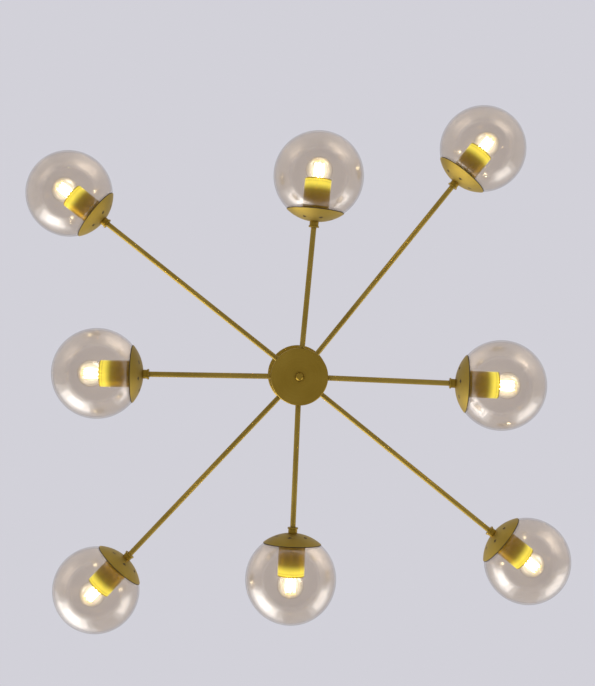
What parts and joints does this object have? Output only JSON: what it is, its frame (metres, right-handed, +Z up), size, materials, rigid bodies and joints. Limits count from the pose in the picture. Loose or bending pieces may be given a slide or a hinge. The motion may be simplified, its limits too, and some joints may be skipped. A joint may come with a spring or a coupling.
{
  "type": "multi arm chandelier",
  "caption": "Ceiling chandelier with straight brass arms on two turnable hub tiers, each arm ending in a clear amber glass globe with a vented brass cap, sleeve and round filament lamp.",
  "frame": {"origin": "centre of the ceiling face, on the hub axis", "axes": "+Z up into the ceiling; the shorter arms lie near X and Y, and the longer arms near the diagonals"},
  "size_m": [0.9486, 0.9193, 0.605],
  "materials": {
    "satin_brass": "satin brushed, lacquered",
    "raw_brass": "plain drawn",
    "amber_glass": "clear polished, light champagne tint",
    "bulb_glass": "clear polished",
    "filament": "glowing warm white strips on a glass stem",
    "bulb_cap_metal": "nickel plated",
    "white_ceramic": "glazed porcelain",
    "white_plastic": "natural nylon",
    "black_rubber": "matt silicone",
    "plated_steel": "zinc plated",
    "spring_steel": "bright strip",
    "cable_sheath": "matt silicone sheath"
  },
  "bodies": {
    "fixed_frame": {"ceiling_bracket": "plated_steel", "stem_nipple": "plated_steel", "bracket_nuts": "plated_steel", "terminal_block": "white_plastic", "earth_screw": "raw_brass", "supply_cable": "cable_sheath", "stem": "satin_brass", "stem_foot": "satin_brass", "centre_pipe": "plated_steel", "hub_spacer": "satin_brass", "friction_washers": "white_plastic", "finial": "satin_brass"},
    "canopy_cover": {"canopy": "satin_brass", "canopy_collar": "satin_brass", "collar_screw": "plated_steel"},
    "upper_tier": {"upper_hub_shell": "satin_brass", "upper_hub_lid": "satin_brass", "upper_caps": "satin_brass", "upper_collars": "satin_brass", "upper_sleeves": "satin_brass", "upper_arm_nuts": "plated_steel", "upper_globe_springs": "spring_steel", "upper_arm_wires": "cable_sheath", "upper_rim_gaskets": "black_rubber", "upper_lampholders": "white_ceramic", "upper_holder_contacts": "raw_brass", "upper_bulb_envelopes": "bulb_glass", "upper_bulb_bases": "bulb_cap_metal", "upper_filaments": "filament", "upper_arm_1": "satin_brass", "upper_globe_1": "amber_glass", "upper_arm_2": "satin_brass", "upper_globe_2": "amber_glass", "upper_arm_3": "satin_brass", "upper_globe_3": "amber_glass", "upper_arm_4": "satin_brass", "upper_globe_4": "amber_glass"},
    "lower_tier": {"lower_hub_shell": "satin_brass", "lower_hub_lid": "satin_brass", "lower_caps": "satin_brass", "lower_collars": "satin_brass", "lower_sleeves": "satin_brass", "lower_arm_nuts": "plated_steel", "lower_globe_springs": "spring_steel", "lower_arm_wires": "cable_sheath", "lower_rim_gaskets": "black_rubber", "lower_lampholders": "white_ceramic", "lower_holder_contacts": "raw_brass", "lower_bulb_envelopes": "bulb_glass", "lower_bulb_bases": "bulb_cap_metal", "lower_filaments": "filament", "lower_arm_1": "satin_brass", "lower_globe_1": "amber_glass", "lower_arm_2": "satin_brass", "lower_globe_2": "amber_glass", "lower_arm_3": "satin_brass", "lower_globe_3": "amber_glass", "lower_arm_4": "satin_brass", "lower_globe_4": "amber_glass"}
  },
  "joints": [
    {"name": "upper_tier_turn", "type": "hinge", "parent": "fixed_frame", "child": "upper_tier", "pos_m": [0, 0, -0.413], "axis": [0, 0, 1], "range_deg": [-170, 170]},
    {"name": "lower_tier_turn", "type": "hinge", "parent": "fixed_frame", "child": "lower_tier", "pos_m": [0, 0, -0.53], "axis": [0, 0, 1], "range_deg": [-170, 170]},
    {"name": "canopy_slide", "type": "slide", "parent": "fixed_frame", "child": "canopy_cover", "axis": [0, 0, -1], "range_m": [0, 0.3]}
  ]
}
